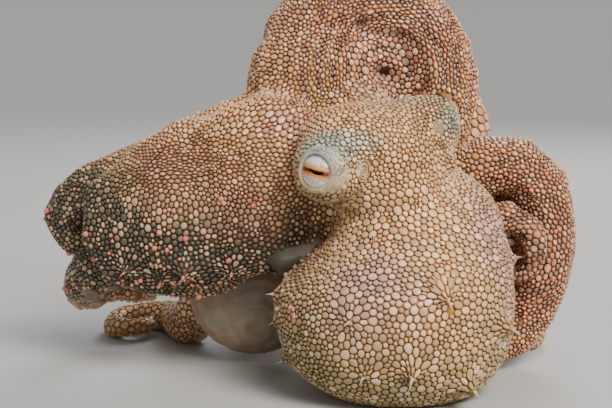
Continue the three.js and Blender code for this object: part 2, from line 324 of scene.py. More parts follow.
# the large papillae are drawn out of the hide: root, the way it points, height and width
SPIKES = [
    ((57, -57, 55), (5, -7, -9), 7.5, 2.7),
    ((83, -40, 36), (9, -6, -3), 8, 2.6),
    ((45, -60, 22), (-3, -7, -8), 6.5, 2.2),
    ((69, -48, 12), (6, -7, -6), 7.5, 2.4),
    ((-11, -22, 46), (-10, -3, 2), 4, 1.7),
    ((-8, -24, 18), (-9, -4, -1), 4, 1.7),
    ((92, -18, 62), (9, -3, 3), 4, 1.8),
    ((62, -8, 104), (10, -4, 1), 5, 2),
    ((26, -57, 20), (-5, -8, -4), 3.5, 1.8),
    ((20, -54, 42), (-4, -9, -1), 3, 1.7),
    ((-14, -20, 34), (-9, -5, -3), 3.5, 1.7),
    ((-56, -4, 51), (-4, -7, -4), 4, 2),
    ((-34, -4, 52), (-2, -7, -5), 4, 2),
    ((-84, 4, 50), (-6, -6, -4), 4, 2),
    ((-70, 0, 46), (-2, -6, -6), 4, 2),
]
calm_points = points.copy()
spike_tips = []
spike_roots = []
for at, way, high, wide in SPIKES:
    root = calm_points[np.argmin(np.linalg.norm(calm_points - np.array(spot(*at)), axis=1))]
    way = Vector(way).normalized()
    reach = np.linalg.norm(calm_points - root, axis=1) / MM
    points = points + np.array(way) * (high * MM * np.exp(-(reach / wide) ** 1.2))[:, None]
    spike_roots.append(root)
    spike_tips.append((Vector(root) + way * high * MM, way, high))
points[:, 2] = np.maximum(points[:, 2], 0.0008)
body.data.vertices.foreach_set("co", points.ravel())
body.data.update()
body_tree = BVHTree.FromPolygons(
    [v.co for v in body.data.vertices], [p.vertices for p in body.data.polygons]
)

def body_normal(point):
    return body_tree.find_nearest(point)[1]


# Eyes: a pale, silvery ball with a gold band and a dark, narrow, level pupil sunk in it. Each keeps
# the place and size of the CAD eyeball, and looks out to its own side.
EYE_SEGMENTS = 96
EYE_RINGS = 72
PUPIL_HALF_LENGTH = 4.8
PUPIL_HALF_HEIGHT = 0.48
PUPIL_DEPTH = 0.6


def eye_material():
    material = bpy.data.materials.new("eyeball")
    material.use_nodes = True
    tree = material.node_tree
    nodes, link = tree.nodes, tree.links.new
    shader = nodes["Principled BSDF"]
    shader.inputs["Roughness"].default_value = 0.12
    shader.inputs["Specular IOR Level"].default_value = 0.25
    shader.inputs["Coat Roughness"].default_value = 0.04
    place = nodes.new("ShaderNodeAttribute")
    place.attribute_name = "iris"
    split = nodes.new("ShaderNodeSeparateXYZ")
    link(place.outputs["Vector"], split.inputs[0])

    def maths(kind, *values):
        node = nodes.new("ShaderNodeMath")
        node.operation = kind
        for socket, value in zip(node.inputs, values):
            if isinstance(value, (int, float)):
                socket.default_value = value
            else:
                link(value, socket)
        return node.outputs[0]

    def blend(value, start, end, clear, full):
        """A colour that turns from one to the other as a value runs from start to end."""
        ramp = nodes.new("ShaderNodeMapRange")
        ramp.interpolation_type = "SMOOTHSTEP"
        ramp.inputs["From Min"].default_value = start
        ramp.inputs["From Max"].default_value = end
        link(value, ramp.inputs["Value"])
        mix = nodes.new("ShaderNodeMix")
        mix.data_type = "RGBA"
        link(ramp.outputs["Result"], mix.inputs["Factor"])
        for socket, colour in ((mix.inputs[6], clear), (mix.inputs[7], full)):
            if isinstance(colour, list):
                socket.default_value = colour
            else:
                link(colour, socket)
        return mix.outputs[2]

    along, over, out = split.outputs
    angle = maths("ARCTAN2", over, along)
    spokes = nodes.new("ShaderNodeCombineXYZ")
    link(maths("MULTIPLY", angle, 9), spokes.inputs[0])
    link(maths("MULTIPLY", out, 0.35), spokes.inputs[1])
    streaks = nodes.new("ShaderNodeTexNoise")
    streaks.inputs["Scale"].default_value = 1.6
    streaks.inputs["Detail"].default_value = 4
    link(spokes.outputs[0], streaks.inputs["Vector"])
    streak = streaks.outputs["Fac"]
    silver = blend(streak, 0.36, 0.62, paint(190, 184, 180), paint(250, 247, 243))
    specks = nodes.new("ShaderNodeTexVoronoi")
    specks.inputs["Scale"].default_value = 1.1
    link(place.outputs["Vector"], specks.inputs["Vector"])
    speckled = blend(specks.outputs["Distance"], 0.12, 0.22, paint(110, 60, 30), silver)
    gold = blend(streak, 0.35, 0.6, paint(176, 84, 14), paint(252, 160, 50))
    spread = maths("MULTIPLY_ADD", streak, 1.5, maths("ABSOLUTE", over))
    banded = blend(spread, 1.9, 5.0, gold, speckled)
    brown = blend(spread, 1.2, 2.1, paint(104, 36, 4), banded)
    rimmed = blend(out, 6.4, 7.5, brown, paint(196, 206, 208))
    bent = maths("MULTIPLY_ADD", maths("SINE", maths("MULTIPLY", along, 0.9)), 0.28, over)
    long = maths("POWER", maths("ABSOLUTE", maths("DIVIDE", along, PUPIL_HALF_LENGTH)), 5)
    broad = maths("MULTIPLY_ADD", along, 0.09, PUPIL_HALF_HEIGHT * 1.3)
    tall = maths("POWER", maths("ABSOLUTE", maths("DIVIDE", bent, broad)), 2)
    inside = maths("ADD", long, tall)
    link(blend(inside, 0.8, 1.25, paint(4, 3, 4), rimmed), shader.inputs["Base Color"])
    gloss = nodes.new("ShaderNodeMapRange")
    gloss.inputs["From Min"].default_value = 1
    gloss.inputs["From Max"].default_value = 1.4
    gloss.inputs["To Max"].default_value = 0.8
    link(inside, gloss.inputs["Value"])
    link(gloss.outputs["Result"], shader.inputs["Coat Weight"])
    return material


def paint(red, green, blue):
    """A colour as a painter names it, 0 to 255 a channel."""
    return [(c / 255) ** 2.2 for c in (red, green, blue)] + [1]


eyeball = eye_material()
for name, (centre, gaze, across) in EYES.items():
    upward = gaze.cross(across)
    ball = bmesh.new()
    turned = Matrix((across, upward, gaze)).transposed().to_4x4()
    bmesh.ops.create_uvsphere(
        ball, u_segments=EYE_SEGMENTS, v_segments=EYE_RINGS, radius=EYE_SIZE, matrix=turned
    )
    iris = ball.verts.layers.float_vector.new("iris")
    for vert in ball.verts:
        along, over, ahead = (vert.co.dot(axis) / MM for axis in (across, upward, gaze))
        out = math.hypot(along, over) if ahead > 0 else EYE_SIZE / MM
        vert[iris] = (along, over, out)
        if ahead > 0:
            slit = (along / PUPIL_HALF_LENGTH) ** 2 + (over / PUPIL_HALF_HEIGHT) ** 2
            vert.co -= gaze * PUPIL_DEPTH * MM * max(0, 1 - slit / 1.3)
    bmesh.ops.translate(ball, verts=ball.verts, vec=centre)
    for face in ball.faces:
        face.smooth = True
    eye_mesh = bpy.data.meshes.new(name + "_ball")
    ball.to_mesh(eye_mesh)
    ball.free()
    eye_mesh.materials.append(eyeball)
    eye = bpy.data.objects.new(name + "_ball", eye_mesh)
    bpy.context.collection.objects.link(eye)
    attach(eye, "root")
    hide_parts(name)

# Lids: the bare, soft, blue-grey hide that holds each eyeball, in fine folds round it, and two small
# oval whorls of bare folds on the head. They are part of the skin. The lids are spun round the line of
# sight from the section below, which then takes the height of the lids' form.
LID_ROLL = [(7.9, 4.4), (7.45, 5.7), (7.3, 6.4)]
LID_RING_STEP = 0.3
LID_RINGS = 23
LID_TURNS = 132
LID_FOLD_WIDTH = 1.35
LID_FOLD_HEIGHT = 0.42
WHORLS = [((24.2, -37.3, 104.5), 4.2, 5.6), ((59.1, -12.8, 121), 3.4, 3.8)]
WHORL_RINGS = 30
WHORL_TURNS = 60
WHORL_FOLDS = 3.5
WHORL_FOLD_HEIGHT = 0.26

lids = bmesh.new()
crease_shade = lids.verts.layers.float.new("crease_shade")
for name, (centre, gaze, across) in EYES.items():
    before = len(lids.verts)
    outs = [LID_ROLL[-1][0] + LID_RING_STEP * (i + 1) for i in range(LID_RINGS)]
    line = LID_ROLL + [(out, 0) for out in outs]
    section = [lids.verts.new(centre + across * out * MM + gaze * up * MM) for out, up in line]
    edges = [lids.edges.new(pair) for pair in zip(section, section[1:])]
    bmesh.ops.spin(
        lids, geom=section + edges, cent=centre, axis=gaze, dvec=(0, 0, 0), angle=2 * math.pi,
        steps=LID_TURNS, use_merge=True,
    )
    lids.verts.ensure_lookup_table()
    for vert in lids.verts[before:]:
        (turn,), (out,), (ahead,) = eye_places([vert.co], name)
        vert[crease_shade] = 1
        if abs(ahead) > 0.01:
            continue
        place = vert.co / (6 * MM)
        bend = out + 2.2 * noise.noise(place) + 0.9 * noise.noise(place * 2.6)
        row = bend // LID_FOLD_WIDTH
        ring = abs(math.sin(math.pi * bend / LID_FOLD_WIDTH))
        crack = abs(math.sin(turn * (4 + 2 * (row % 3)) + row * 1.9 + 3 * noise.noise(place * 1.4)))
        pillow = min(1, 1.7 * ring) * min(1, 0.2 + 3 * crack)
        fade = float(eased(out, 8.0, 9.0) * (0.45 + 0.55 * eased(noise.noise(place * 0.7), -0.3, 0.1)))
        rim = round_eye(turn, *LID_BARE[name]) + 0.6 + 0.8 * noise.noise(place * 1.3)
        edge = float(eased(out, rim, rim + 1.8))
        # painted shade: the hide is marked darker in the creases between the lid's folds
        vert[crease_shade] = 1 - fade * (1 - pillow)
        high = float(lid_height(name, turn, out)) + LID_FOLD_HEIGHT * fade * (pillow - 0.55) - 2.5 * edge
        vert.co += gaze * (high + 0.1) * MM
for at, wide, tall in WHORLS:
    middle = body_tree.find_nearest(spot(*at))[0]
    facing = body_normal(middle)
    level = Vector((0, 0, 1)).cross(facing).normalized()
    upward = facing.cross(level)
    before = len(lids.verts)
    section = [lids.verts.new((i / WHORL_RINGS, 0, 0)) for i in range(WHORL_RINGS + 1)]
    edges = [lids.edges.new(pair) for pair in zip(section, section[1:])]
    bmesh.ops.spin(
        lids, geom=section + edges, cent=(0, 0, 0), axis=(0, 0, 1), dvec=(0, 0, 0),
        angle=2 * math.pi, steps=WHORL_TURNS, use_merge=True,
    )
    lids.verts.ensure_lookup_table()
    for vert in lids.verts[before:]:
        reach = vert.co.length
        start = middle + (level * vert.co.x * wide + upward * vert.co.y * tall + facing * 10) * MM
        wave = math.cos(2 * math.pi * WHORL_FOLDS * (reach + 0.04 * math.sin(2 * vert.co.x + 5 * vert.co.y)))
        # painted shade: the whorl's hide is marked darker in the troughs of its folds
        vert[crease_shade] = 0.5 + 0.5 * wave
        sunk = 1.2 * float(eased(reach, 0.88, 1))
        hit = body_tree.ray_cast(start, -facing, 30 * MM)[0] or start - facing * 10 * MM
        vert.co = hit + facing * (0.25 + WHORL_FOLD_HEIGHT * wave - sunk) * MM
bmesh.ops.remove_doubles(lids, verts=lids.verts, dist=0.01 * MM)
bmesh.ops.recalc_face_normals(lids, faces=lids.faces)
lids_mesh = bpy.data.meshes.new("lids")
lids.to_mesh(lids_mesh)
lids.free()

# Skin: the thin coloured hide that shows between the pads. It is the body form, pulled in by the
# depth of the pads.
SKIN_FACES_KEPT = 0.58
PAD_DEPTH = 0.45 * MM

# where each tone of the hide lies: middle, reach each way and strength
TONES = {
    "rust": [
        ((44, 30, 165), (70, 60, 30), 0.9),
        ((110, 25, 60), (34, 50, 62), 1.0),
        ((-68, 2, 104), (9, 16, 22), 0.9),
        ((-10, -6, 124), (16, 14, 9), 0.75),
        ((-40, 0, 70), (34, 30, 26), 0.5),
        ((-20, 0, 98), (30, 30, 20), 0.4),
        ((0, 60, 60), (120, 45, 90), 0.45),
        ((-7, -42, 43), (4, 8, 4), 1.0),
        ((41.5, 18, 139), (7, 14, 6), 0.9),
        ((37.8, 24, 144.5), (7, 18, 7), 1.0),
        ((-4, -8, 56), (18, 18, 14), 0.7),
        ((-50, 0, 107), (8, 14, 8), 0.8),
        ((-27, -6, 86), (8, 12, 12), 0.7),
        ((-20, -6, 73), (9, 12, 8), 0.8),
    ],
    "olive": [
        ((-8, -40, 34), (22, 30, 46), 1.0),
        ((40, -62, 2), (60, 40, 24), 1.0),
        ((92, -30, 30), (20, 40, 40), 0.7),
        ((60, -10, 126), (20, 20, 14), 0.4),
        ((-112, 20, 76), (26, 40, 40), 0.8),
        # painted shade: the arms lying on the floor at the back left are toned a darker olive
        ((-95, 75, 6), (70, 50, 30), 0.6),
        ((8, -30, 88), (14, 14, 10), 0.6),
        ((11, -38, 96), (13, 12, 6), 0.7),
    ],
    "lilac": [
        ((27, -55, 56), (26, 20, 24), 0.8),
        ((84, -26, 72), (14, 20, 30), 0.9),
        ((-88, 9, 52), (20, 20, 12), 0.6),
        ((37.8, 20, 144.5), (14, 16, 13), 0.6),
    ],
    # the dark tone is partly the animal's own dark mottling and partly painted shade: in the hollows under the
    # left eye and where head, web and mantle meet, in the dark hole under the arch, in the pit of the right
    # coil and over the lower left of the web
    "dark_and_shade": [
        ((8, -33, 87), (12, 10, 7), 0.7),
        ((1, -8, 80), (12, 12, 10), 0.5),
        ((-3, -5, 58), (14, 14, 12), 1.0),
        ((-110, 20, 60), (30, 40, 36), 1.0),
        ((37.8, 24, 144.5), (5, 16, 5), 0.5),
        ((40.5, 18, 140), (5, 14, 4), 0.4),
        ((-80, 0, 48), (52, 34, 24), 0.85),
        ((-50, -4, 72), (62, 30, 28), 0.4),
        ((112, 25, 60), (40, 50, 60), 0.15),
        ((-122, 20, 70), (34, 50, 44), 1.0),
        ((-40, 0, 60), (40, 26, 16), 0.5),
        ((96, 22, 60), (9, 20, 14), 0.5),
    ],
}
# painted shade, tinted rust, in the furrows of the folds that ring a spot: where, how far they reach, how far
# apart and how dark they are
FURROW_SHADE = [
    ((37.8, 18, 144.5), (50, 34, 46), 7.0, 1.0),
    ((100, 14, 58), (36, 34, 44), 8.0, 0.8),
]
BLUES = [
    ((3, -42, 110), (9, 12, 8), 1.0),
    ((16, -40, 108), (7, 12, 7), 0.5),
    ((15, -36, 117), (18, 12, 5), 1.0),
    ((46, -10, 137), (16, 16, 5), 0.8),
    ((66, -8, 126), (6, 14, 10), 0.9),
    ((-26, 32, 28), (36, 20, 36), 1.0),
]


def tint(mesh):
    """Stores how much of each tone of the hide there is at every vertex. The dark tone is partly the animal's
    own dark mottling and partly painted shade, and the furrow bands are painted shade.
    """
    points = points_of(mesh)
    share = np.zeros((len(points), 4), np.float32)
    for column, name in enumerate(("rust", "olive", "lilac", "dark_and_shade")):
        for centre, radii, strength in TONES[name]:
            share[:, column] += strength * nearness(points, centre, radii)
    # painted shade in the furrows of the ring folds, darker and more rust-coloured
    for centre, radii, apart, strength in FURROW_SHADE:
        reach = np.linalg.norm(points - np.array(spot(*centre)), axis=1) / MM
        wave = np.clip(-np.sin(reach / apart * 2 * math.pi), 0, 1)
        share[:, 0] += strength * nearness(points, centre, radii) * wave
        share[:, 3] += 0.7 * strength * nearness(points, centre, radii) * wave
    layer = mesh.attributes.new("tones", "FLOAT_COLOR", "POINT")
    layer.data.foreach_set("color", np.clip(share, 0, 1).ravel())
    blue = sum(strength * nearness(points, centre, radii) for centre, radii, strength in BLUES)
    layer = mesh.attributes.new("blue", "FLOAT", "POINT")
    layer.data.foreach_set("value", np.clip(blue, 0, 1).astype(np.float32))


skin_mesh = body.data.copy()
skin_points = points_of(skin_mesh) - normals_of(skin_mesh) * PAD_DEPTH
skin_points[:, 2] = np.maximum(skin_points[:, 2], 0.0003)
skin_mesh.vertices.foreach_set("co", skin_points.ravel())
skin = bpy.data.objects.new("skin", skin_mesh)
bpy.context.collection.objects.link(skin)
thin_out = skin.modifiers.new("thin_out", "DECIMATE")
thin_out.ratio = SKIN_FACES_KEPT
finished_mesh(skin)
whole_skin = bmesh.new()
whole_skin.from_mesh(skin.data)
hide_faces = len(whole_skin.faces)
hide_verts = len(whole_skin.verts)
whole_skin.from_mesh(lids_mesh)
whole_skin.faces.ensure_lookup_table()
for face in whole_skin.faces:
    face.smooth = True
    face.material_index = int(face.index >= hide_faces)
whole_skin.to_mesh(skin.data)
whole_skin.free()
tint(skin.data)
# the lids' painted crease shade, carried onto the skin; the body's hide has none
crease_shades = np.ones(len(skin.data.vertices), np.float32)
lid_crease_shades = np.empty(len(lids_mesh.vertices), np.float32)
lids_mesh.attributes["crease_shade"].data.foreach_get("value", lid_crease_shades)
crease_shades[hide_verts:] = lid_crease_shades
if "crease_shade" in skin.data.attributes:
    skin.data.attributes.remove(skin.data.attributes["crease_shade"])
skin.data.attributes.new("crease_shade", "FLOAT", "POINT").data.foreach_set("value", crease_shades)


def hide_colour_group():
    """Mixes the hide's five tones by the shares stored on the mesh, and mottles them. The dark tone is partly
    painted shade.
    """
    group = bpy.data.node_groups.new("hide_colour", "ShaderNodeTree")
    for name in ("Pale", "Rust", "Olive", "Lilac", "DarkAndShade", "Blue"):
        group.interface.new_socket(name, in_out="INPUT", socket_type="NodeSocketColor")
    group.interface.new_socket("Colour", in_out="OUTPUT", socket_type="NodeSocketColor")
    nodes, link = group.nodes, group.links.new
    given = nodes.new("NodeGroupInput")
    shares = nodes.new("ShaderNodeAttribute")
    shares.attribute_name = "tones"
    split = nodes.new("ShaderNodeSeparateColor")
    link(shares.outputs["Color"], split.inputs["Color"])
    where = nodes.new("ShaderNodeTexCoord")
    blues = nodes.new("ShaderNodeAttribute")
    blues.attribute_name = "blue"
    mottle = nodes.new("ShaderNodeTexNoise")
    mottle.inputs["Scale"].default_value = 95
    mottle.inputs["Detail"].default_value = 3
    link(where.outputs["Object"], mottle.inputs["Vector"])
    colour = given.outputs["Pale"]
    sources = (
        ("Olive", split.outputs["Green"]),
        ("Lilac", split.outputs["Blue"]),
        ("Rust", split.outputs["Red"]),
        ("Blue", blues.outputs["Fac"]),
        ("DarkAndShade", shares.outputs["Alpha"]),
    )
    for name, share in sources:
        uneven = nodes.new("ShaderNodeMath")
        uneven.operation = "MULTIPLY_ADD"
        uneven.inputs[1].default_value = 0.9
        link(mottle.outputs["Fac"], uneven.inputs[0])
        uneven.inputs[2].default_value = 0.55
        amount = nodes.new("ShaderNodeMath")
        amount.operation = "MULTIPLY"
        amount.use_clamp = True
        link(share, amount.inputs[0])
        link(uneven.outputs[0], amount.inputs[1])
        mix = nodes.new("ShaderNodeMix")
        mix.data_type = "RGBA"
        link(amount.outputs[0], mix.inputs["Factor"])
        link(colour, mix.inputs[6])
        link(given.outputs[name], mix.inputs[7])
        colour = mix.outputs[2]
    patches = nodes.new("ShaderNodeTexNoise")
    patches.inputs["Scale"].default_value = 170
    patches.inputs["Detail"].default_value = 4
    link(where.outputs["Object"], patches.inputs["Vector"])
    shade = nodes.new("ShaderNodeMapRange")
    shade.inputs["From Min"].default_value = 0.32
    shade.inputs["From Max"].default_value = 0.68
    shade.inputs["To Min"].default_value = 0.8
    shade.inputs["To Max"].default_value = 1.12
    link(patches.outputs["Fac"], shade.inputs["Value"])
    shaded = nodes.new("ShaderNodeHueSaturation")
    link(colour, shaded.inputs["Color"])
    link(shade.outputs["Result"], shaded.inputs["Value"])
    result = nodes.new("NodeGroupOutput")
    link(shaded.outputs["Color"], result.inputs["Colour"])
    return group


hide_colour = hide_colour_group()


def hide_material(name, tones, roughness):
    """A wet hide in five tones. Gives back the material and the nodes to build on."""
    material = bpy.data.materials.new(name)
    material.use_nodes = True
    tree = material.node_tree
    shader = tree.nodes["Principled BSDF"]
    shader.inputs["Roughness"].default_value = roughness
    shader.inputs["Specular IOR Level"].default_value = 0.4
    group = tree.nodes.new("ShaderNodeGroup")
    group.node_tree = hide_colour
    for tone, colour in tones.items():
        group.inputs[tone].default_value = colour
    tree.links.new(group.outputs["Colour"], shader.inputs["Base Color"])
    return material, tree, shader, group


GROOVES = {
    "Pale": paint(190, 132, 66),
    "Rust": paint(160, 98, 64),
    "Olive": paint(122, 102, 56),
    "Lilac": paint(156, 120, 96),
    "DarkAndShade": paint(82, 76, 62),
    "Blue": paint(146, 141, 126),
}
groove_hide, *_ = hide_material("groove_hide", GROOVES, 0.5)
skin.data.materials.append(groove_hide)
LID_TONES = {
    "Pale": paint(226, 190, 152),
    "Rust": paint(206, 150, 124),
    "Olive": paint(186, 168, 116),
    "Lilac": paint(210, 172, 160),
    "DarkAndShade": paint(96, 80, 60),
    "Blue": paint(176, 186, 172),
}
lid_hide, tree, shader, group = hide_material("lid_hide", LID_TONES, 0.3)
crease_shade = tree.nodes.new("ShaderNodeAttribute")
crease_shade.attribute_name = "crease_shade"
# painted shade: the lid hide is darkened towards a dull brown in the creases between its folds
creased = tree.nodes.new("ShaderNodeMix")
creased.data_type = "RGBA"
creased.inputs[6].default_value = paint(104, 86, 54)
tree.links.new(crease_shade.outputs["Fac"], creased.inputs["Factor"])
tree.links.new(group.outputs["Colour"], creased.inputs[7])
tree.links.new(creased.outputs[2], shader.inputs["Base Color"])
skin.data.materials.append(lid_hide)
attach(skin, "root")
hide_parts(*flesh_names)

# Pads: the mosaic of low, rounded, pale pads that stud the hide, each walled off by a groove. They
# are laid as a net of even triangles over the body, turned into its cells, each cell then cut free,
# raised and rounded.
NET_SPACING = 2.75 * MM
FINE_SPACING = 2.25 * MM
ARCH_SPACING = 2.4 * MM
HIDDEN_SPACING = 3.3 * MM
HIDDEN_FROM = 52
NET_ROUNDS = 5
NET_STEPS = (0.55, 0.7, 0.84)
MERGE_TURN = 0.6
NET_MENDINGS = 3
LONGEST_IN_SPACINGS = 1.9
LARGEST_PAD = 30 * MM * MM
FLATTEST = 0.5
HOLE_WIDE = 2.3


# The pads lie in rings round some spots of the hide. While the net is laid, space is drawn out round
# them: middle (x and z), where the pads keep their size, the share of that where the pull stops
# growing, how strong it is, and where it is felt.
FLOWS = [
    ((37.8, 144.5), 26, 0.8, 1.7, (38, 26, 150), (44, 40, 34)),
    ((7.6, 104.2), 12, 0.8, 1.5, (7.6, -36, 104), (15, 20, 15)),
    ((24.2, 104.5), 8, 0.7, 1.6, (24.2, -37, 104.5), (9, 14, 10)),
    ((59.1, 121), 7, 0.7, 1.5, (59, -13, 121), (9, 14, 9)),
    ((101, 57), 28, 0.6, 1.4, (104, 24, 58), (34, 40, 44)),
    ((-60, 10), 92, 0.85, 1.6, (-58, 0, 104), (44, 26, 20)),
]
SPIKE_PULL = 0.8
SPIKE_PULL_REACH = 5


def drawn_out(points):
    """The same points with space drawn out round the middles of the flows and the papillae."""
    moved = points.copy()
    for (x, z), even, least, power, centre, radii in FLOWS:
        middle = spot(x, 0, z)
        away = points[:, [0, 2]] - np.array((middle.x, middle.z))
        reach = np.linalg.norm(away, axis=1) / MM
        pull = (np.clip(reach, even * least, even * 2) / even) ** (power - 1) - 1
        moved[:, [0, 2]] += away * (pull * nearness(points, centre, radii))[:, None]
    for root in spike_roots:
        away = points - root
        pull = np.exp(-(away ** 2).sum(axis=1) / (SPIKE_PULL_REACH * MM) ** 2)
        moved += away * (SPIKE_PULL * pull)[:, None]
    return moved


def spacing_of(point):
    x, y, z = (point - left_eye) / MM + DRAWN_EYE
    if y > HIDDEN_FROM:
        return HIDDEN_SPACING
    arch = z > 128 and y > 2
    small = x < 10 or z > 98 or x > 88 or (y > 2 and x < 20)
    if arch:
        return ARCH_SPACING
    return FINE_SPACING if small else NET_SPACING


net = bmesh.new()
net.from_mesh(body.data)
bmesh.ops.triangulate(net, faces=net.faces)
true_points = np.array([v.co for v in net.verts])
drawn_points = drawn_out(calm_points)
corners = [[v.index for v in face.verts] for face in net.faces]
drawn_tree = BVHTree.FromPolygons(drawn_points.tolist(), corners)
for vert, drawn in zip(net.verts, drawn_points):
    vert.co = drawn
# corners are merged only with corners that face the same side, so that no two sides of a gap join
for step, share in enumerate(NET_STEPS):
    net.normal_update()
    turned = Matrix.Rotation(step * MERGE_TURN, 3, Vector((1, 1, 1)))
    alike = {}
    for vert in net.verts:
        way = turned @ vert.normal
        side = max(range(3), key=lambda i: abs(way[i]))
        alike.setdefault((spacing_of(vert.co), side, way[side] > 0), []).append(vert)
    for (spacing, *_), band in alike.items():
        bmesh.ops.remove_doubles(net, verts=band, dist=spacing * share)
    bmesh.ops.beautify_fill(net, faces=net.faces, edges=net.edges, method="ANGLE")
# faces folded together are taken out, and the holes closed with triangles of the net's own size
for _ in range(3):
    pinched = {v for v in net.verts if sum(e.is_boundary for e in v.link_edges) > 2}
    folded = [
        f for f in net.faces
        if any(len(e.link_faces) > 2 for e in f.edges) or any(v in pinched for v in f.verts)
    ]
    bmesh.ops.delete(net, geom=folded, context="FACES")
    bmesh.ops.delete(net, geom=[e for e in net.edges if not e.link_faces], context="EDGES")
    bmesh.ops.delete(net, geom=[v for v in net.verts if not v.link_faces], context="VERTS")
bmesh.ops.holes_fill(net, edges=[e for e in net.edges if e.is_boundary], sides=0)
bmesh.ops.triangulate(net, faces=[f for f in net.faces if len(f.verts) > 3])
for _ in range(NET_MENDINGS):
    long = [
        e for e in net.edges
        if e.calc_length() > LONGEST_IN_SPACINGS * spacing_of((e.verts[0].co + e.verts[1].co) / 2)
    ]
    bmesh.ops.subdivide_edges(net, edges=long, cuts=1)
    bmesh.ops.triangulate(net, faces=[f for f in net.faces if len(f.verts) > 3])
    bmesh.ops.beautify_fill(net, faces=net.faces, edges=net.edges, method="ANGLE")
for _ in range(NET_ROUNDS):
    bmesh.ops.beautify_fill(net, faces=net.faces, edges=net.edges, method="ANGLE")
    for _ in range(2):
        bmesh.ops.smooth_vert(
            net, verts=net.verts, factor=0.5, use_axis_x=True, use_axis_y=True, use_axis_z=True
        )
    for vert in net.verts:
        vert.co = drawn_tree.find_nearest(vert.co)[0]
for vert in net.verts:
    place, _, face, _ = drawn_tree.find_nearest(vert.co)
    drawn_corners = [Vector(drawn_points[i]) for i in corners[face]]
    true_corners = [Vector(true_points[i]) for i in corners[face]]
    vert.co = barycentric_transform(place, *drawn_corners, *true_corners)
bmesh.ops.recalc_face_normals(net, faces=net.faces)
net_mesh = bpy.data.meshes.new("net")
net.to_mesh(net_mesh)
net.free()
cells = bpy.data.objects.new("cells", net_mesh)
bpy.context.collection.objects.link(cells)
turn_to_cells = bpy.data.node_groups.new("turn_to_cells", "GeometryNodeTree")
turn_to_cells.interface.new_socket("Net", in_out="INPUT", socket_type="NodeSocketGeometry")
turn_to_cells.interface.new_socket("Cells", in_out="OUTPUT", socket_type="NodeSocketGeometry")
net_in = turn_to_cells.nodes.new("NodeGroupInput")
dual = turn_to_cells.nodes.new("GeometryNodeDualMesh")
cells_out = turn_to_cells.nodes.new("NodeGroupOutput")
turn_to_cells.links.new(net_in.outputs[0], dual.inputs["Mesh"])
turn_to_cells.links.new(dual.outputs[0], cells_out.inputs[0])
cells.modifiers.new("turn_to_cells", "NODES").node_group = turn_to_cells
finished_mesh(cells)

# pads are taken away where the lids and whorls are bare
cell_net = bmesh.new()
cell_net.from_mesh(cells.data)
for face in cell_net.faces:
    middle = face.calc_center_median()
    if body_normal(middle).dot(face.normal) < 0:
        face.normal_flip()
poor = np.array([
    face.calc_area() > LARGEST_PAD
    or face.normal.dot(body_normal(face.calc_center_median())) < FLATTEST
    for face in cell_net.faces
])
middles = np.array([face.calc_center_median() for face in cell_net.faces])
cleared = poor.copy()
for name in EYES:
    turn, out, ahead = eye_places(middles, name)
    edge = round_eye(turn, *LID_BARE[name]) + 0.5 * np.sin(5 * turn + 1)
    cleared |= (out < edge) & (ahead > -3) & (ahead < 13)
for at, wide, tall in WHORLS:
    away = (middles - np.array(body_tree.find_nearest(spot(*at))[0])) / MM
    side, rise = np.hypot(away[:, 0], away[:, 1]), away[:, 2]
    cleared |= (side / (wide - 0.3)) ** 2 + (rise / (tall - 0.3)) ** 2 < 1
hole = (middles - np.array(spot(37.8, 18, 144.5))) / MM
cleared |= (np.hypot(hole[:, 0], hole[:, 2]) < HOLE_WIDE) & (np.abs(hole[:, 1]) < 20)
bare_faces = [face for face, gone in zip(cell_net.faces, cleared) if gone]
bmesh.ops.delete(cell_net, geom=bare_faces, context="FACES")
cell_net.to_mesh(cells.data)
cell_net.free()

# an unwrap of the whole net, on which each pad keeps its own small patch
bpy.context.view_layer.objects.active = cells
cells.select_set(True)
bpy.ops.object.mode_set(mode="EDIT")
bpy.ops.mesh.select_all(action="SELECT")
bpy.ops.uv.smart_project(angle_limit=math.radians(66), island_margin=0.003)
bpy.ops.object.mode_set(mode="OBJECT")
cells.data.uv_layers[0].name = "OFBake"

REGIONS = {
    "mantle": ("mantle",),
    "head": ("head",),
    "left_web": ("web_left",),
    "bare": ("web_under", "funnel"),
    "arch": ("arm_right_1",),
    "crown": ("crown", "web_top"),
    "coil": ("arm_right_2", "web_right"),
    "left_arms": ("arm_left_1", "arm_left_2"),
    "low_arms": ("arm_left_3", "arm_left_4", "arm_right_3", "arm_right_4"),
    "back_web": ("web_back",),
    "web_dots": (),
    "mantle_low": (),
    "coil_low": (),
}
# the part of a region under a height in millimetres is a piece of its own, with a ragged edge; the
# lower part of the left web has small round dots for pads, set well apart
LOW_PARTS = {"left_web": ("web_dots", 74), "mantle": ("mantle_low", 54), "coil": ("coil_low", 56)}
region_of = {
    name: region for region, starts in REGIONS.items() for name in flesh_names if name.startswith(starts)
}
region_list = list(REGIONS)
cell_region = np.array([
    region_list.index(region_of[face_owner[owner_tree.find_nearest(poly.center)[2]]])
    for poly in cells.data.polygons
])
for number, poly in enumerate(cells.data.polygons):
    low_part, under = LOW_PARTS.get(region_list[cell_region[number]], (None, 0))
    level = (poly.center.z - left_eye.z) / MM + DRAWN_EYE.z
    if low_part and level + 9 * noise.noise(poly.center / (9 * MM)) < under:
        cell_region[number] = region_list.index(low_part)
tone_of_pad = np.random.default_rng(11).random(len(cells.data.polygons)).astype(np.float32)

